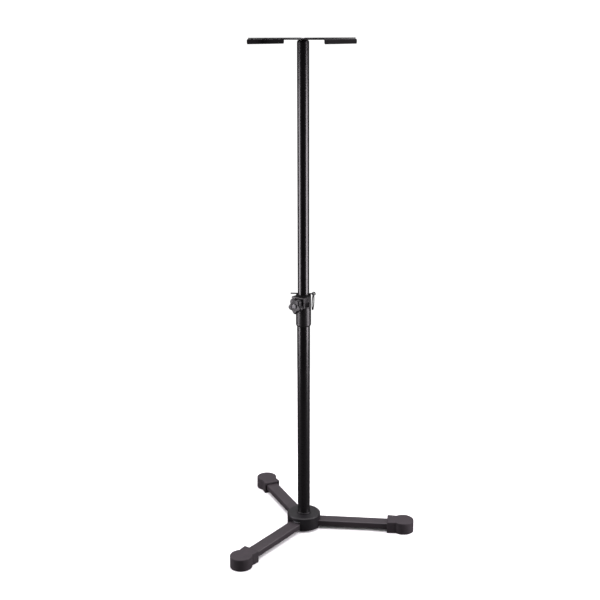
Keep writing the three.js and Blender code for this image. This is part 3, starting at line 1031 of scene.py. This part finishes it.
def add_mast():
    finished("mast_upper_tube", extension_tube_mesh(), "mast", ["extension_tube"], "satin_black")
    finished("mast_top_boss", top_boss_mesh(), "mast", ["top_boss"], "satin_black")
    finished("deck_bolt", plate_bolt_mesh(), "mast", ["plate_bolt"], "satin_black")
    turn = turn_about("Z", DECK["turn"])
    finished("deck_plate", moved(deck_mesh(), turn), "mast", ["support_plate"], "powder_coat",
             look="plate_paint")
    offset = DECK["half_width"] - DECK["bar"] / 2
    for word, side in (("left", -1), ("right", 1)):
        pad = moved(pad_mesh(), shift(side * offset, 0, 0), turn)
        finished(f"deck_pad_{word}", pad, "mast", [f"grip_pad_{word}"], "grip_rubber")


# ------------------------------------------------------------------ safety pin


def swept(path, section):
    """a closed mesh with a section carried along a path of (place, sideways, upward) frames"""
    return loft([[place + sideways * p.x + upward * p.y for p in section]
                 for place, sideways, upward in path])


def pin_mesh():
    """steel pin with a round nose and a closed eye at its outer end"""
    radius = PIN["radius"]
    tip = PIN["tip"]
    end = PIN["eye"] - PIN["eye_ring"]
    profile = [(radius * 0.35, tip), (radius * 0.75, tip + 0.5), (radius * 0.95, tip + 1.3),
               (radius, tip + 2.4), (radius, end)]
    shank = laid_along_x(turned(profile, hollow=False, sides=FINE))
    section = circle(PIN["eye_wire"], 24)
    rings = []
    for i in range(FINE):
        angle = 2 * math.pi * i / FINE
        outward = Vector((math.cos(angle), 0, math.sin(angle)))
        centre = Vector((PIN["eye"], 0, 0)) + outward * PIN["eye_ring"]
        rings.append([centre + outward * p.x + Vector((0, p.y, 0)) for p in section])
    eye = loft(rings, hollow=True)
    return moved(combined(shank, eye, "UNION"), shift(0, 0, (PIN_LOW.z + PIN_HIGH.z) / 2))


def pull_ring_mesh():
    """split ring of two turns of flat wire, hanging in the pin's eye"""
    radius = PULL_RING["radius"]
    pitch = PULL_RING["band"] * 1.05
    section = rounded_rectangle(PULL_RING["depth"] / 2, PULL_RING["band"] / 2, 0.4, steps=3)
    turns = PULL_RING["turns"]
    steps = 96 * turns
    path = []
    for i in range(steps + 1):
        angle = 2 * math.pi * turns * i / steps + math.pi / 2
        outward = Vector((0, math.cos(angle), math.sin(angle)))
        along = pitch * (turns * i / steps - turns / 2)
        path.append((Vector((along, 0, -radius)) + outward * radius, outward, Vector((1, 0, 0))))
    ring = swept(path, section)
    height = (PIN_LOW.z + PIN_HIGH.z) / 2
    return moved(ring, turn_about("Y", PULL_RING["lean"]), turn_about("Z", PULL_RING["turn"]),
                 shift(PIN["eye"], 0, height))


def add_safety_pin():
    # the pin and its ring are bright chrome; their near-black colour is a painted dark reflection
    finished("lock_pin_shank", pin_mesh(), "lock_pin", ["safety_pin"], "chrome_steel",
             look="steel_painted_dark_reflection")
    finished("lock_pin_ring", pull_ring_mesh(), "pin_ring", ["pull_ring"], "chrome_steel",
             look="steel_painted_dark_reflection")


# ------------------------------------------------------------------ inner pieces kept from the frame

KEPT = {
    "spider_plate": "zinc_steel",
    "tube_plug": "zinc_steel",
    "clamp_nut": "zinc_steel",
    "clamp_screw": "zinc_steel",
    "brake_shoe": "moulded_black",
    "mast_guide": "moulded_black",
}


def dress_kept_nodes():
    for node, slot in KEPT.items():
        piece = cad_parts[node]
        piece.data.materials.clear()
        piece.data.materials.append(LOOKS[slot])


# ------------------------------------------------------------------ studio

CAMERA = {"azimuth": 5.95, "pan": 0.217, "pitch": 17.13, "roll": -0.16, "height": 1.5395, "distance": 2.921}
LENS = {"sensor": 36.0, "millimetres": 59.01, "shift": 40 / 600}


def add_camera():
    """the camera stands in front of the stand, a little to its right, at the plate's height"""
    data = bpy.data.cameras.new("camera")
    data.sensor_width = LENS["sensor"]
    data.lens = LENS["millimetres"]
    data.shift_y = LENS["shift"]
    camera = bpy.data.objects.new("camera", data)
    bpy.context.scene.collection.objects.link(camera)
    turn = math.radians(CAMERA["azimuth"])
    place = POLE + Vector((math.sin(turn), -math.cos(turn), 0)) * CAMERA["distance"]
    place.z = CAMERA["height"]
    look = turn_about("Z", CAMERA["azimuth"] + CAMERA["pan"]) @ turn_about("X", 90 - CAMERA["pitch"])
    camera.matrix_world = Matrix.Translation(place) @ look @ turn_about("Z", CAMERA["roll"])
    bpy.context.scene.camera = camera


FLOOR = {"inner": 0.02, "radius": 1.6, "dark": 0.90, "pale": 0.93, "bounce": 0.05}
SIDE_LIGHT = {"distance": 1.9, "height": 0.7, "width": 1.0, "tall": 1.3}
SIDE_LIGHTS = {"left_softbox": (-80, 9.5), "right_softbox": (75, 12.5)}  # azimuth, radiance
OVERHEAD = {"behind": 0.3, "height": 3.2, "side": 2.4, "radiance": 6.0}
LIGHT_COLOUR = (1.0, 0.94, 1.0)
BACKDROP = {"seen": 1.1, "horizon": 0.0, "above": 0.9, "rise": 0.9}


def add_floor():
    """round pale floor; it throws little light back up, so that the stand stays black"""
    mesh = bmesh.new()
    rows = [[mesh.verts.new((p.x + POLE.x, p.y, 0)) for p in circle(radius)]
            for radius in (FLOOR["inner"], FLOOR["radius"])]
    mesh.faces.new(rows[0])
    for i in range(SIDES):
        k = (i + 1) % SIDES
        mesh.faces.new((rows[0][i], rows[1][i], rows[1][k], rows[0][k]))
    data = bpy.data.meshes.new("floor")
    mesh.to_mesh(data)
    mesh.free()
    look = Look("pale_floor", specular=0.2)
    mottle = look.between(look.noise(200), FLOOR["dark"], FLOOR["pale"])
    seen = look.nodes.new("ShaderNodeLightPath").outputs["Is Camera Ray"]
    mix = look.nodes.new("ShaderNodeMix")
    mix.data_type = "FLOAT"
    look.links.new(seen, mix.inputs["Factor"])
    mix.inputs["A"].default_value = FLOOR["bounce"]
    look.links.new(mottle, mix.inputs["B"])
    look.links.new(mix.outputs["Result"], look.shader.inputs["Base Color"])
    look.shader.inputs["Roughness"].default_value = 0.9
    data.materials.append(look.material)
    floor = bpy.data.objects.new("floor", data)
    bpy.context.scene.collection.objects.link(floor)


def add_softbox(name, place, target, width, height, radiance):
    """a rectangular light; its power follows from its radiance"""
    data = bpy.data.lights.new(name, "AREA")
    data.shape = "RECTANGLE"
    data.size = width
    data.size_y = height
    data.energy = radiance * math.pi * width * height
    data.color = LIGHT_COLOUR
    light = bpy.data.objects.new(name, data)
    bpy.context.scene.collection.objects.link(light)
    light.location = place
    light.rotation_mode = "QUATERNION"
    light.rotation_quaternion = (Vector(place) - Vector(target)).to_track_quat("Z", "Y")
    light.visible_camera = False


def add_lights():
    """one soft light overhead and a tall one at each side"""
    height = SIDE_LIGHT["height"]
    for name, (azimuth, radiance) in SIDE_LIGHTS.items():
        turn = math.radians(CAMERA["azimuth"] + azimuth)
        place = POLE + Vector((math.sin(turn), -math.cos(turn), 0)) * SIDE_LIGHT["distance"]
        place.z = height
        add_softbox(name, place, (POLE.x, 0, height), SIDE_LIGHT["width"], SIDE_LIGHT["tall"], radiance)
    side = OVERHEAD["side"]
    add_softbox("overhead", (POLE.x, OVERHEAD["behind"], OVERHEAD["height"]), (POLE.x, 0, 0),
                side, side, OVERHEAD["radiance"])


def add_world():
    """white backdrop; what the stand reflects is black at the horizon and bright overhead"""
    world = bpy.data.worlds.new("studio")
    world.use_nodes = True
    nodes = world.node_tree.nodes
    links = world.node_tree.links
    background = nodes["Background"]
    place = nodes.new("ShaderNodeTexCoord").outputs["Generated"]
    split = nodes.new("ShaderNodeSeparateXYZ")
    links.new(place, split.inputs["Vector"])
    rise = nodes.new("ShaderNodeMapRange")
    rise.inputs["From Max"].default_value = BACKDROP["rise"]
    rise.inputs["To Min"].default_value = BACKDROP["horizon"]
    rise.inputs["To Max"].default_value = BACKDROP["above"]
    links.new(split.outputs["Z"], rise.inputs["Value"])
    seen = nodes.new("ShaderNodeLightPath").outputs["Is Camera Ray"]
    mix = nodes.new("ShaderNodeMix")
    mix.data_type = "FLOAT"
    links.new(seen, mix.inputs["Factor"])
    links.new(rise.outputs["Result"], mix.inputs["A"])
    mix.inputs["B"].default_value = BACKDROP["seen"]
    links.new(mix.outputs["Result"], background.inputs["Strength"])
    background.inputs["Color"].default_value = (1, 1, 1, 1)
    bpy.context.scene.world = world


def set_colours():
    """plain colour rendering, so that the white floor stays white"""
    bpy.context.scene.view_settings.view_transform = "Standard"
    bpy.context.scene.view_settings.look = "None"


# ------------------------------------------------------------------ everything together

add_camera()
add_base()
add_collar()
add_mast()
add_safety_pin()
dress_kept_nodes()
add_floor()
add_lights()
add_world()
set_colours()
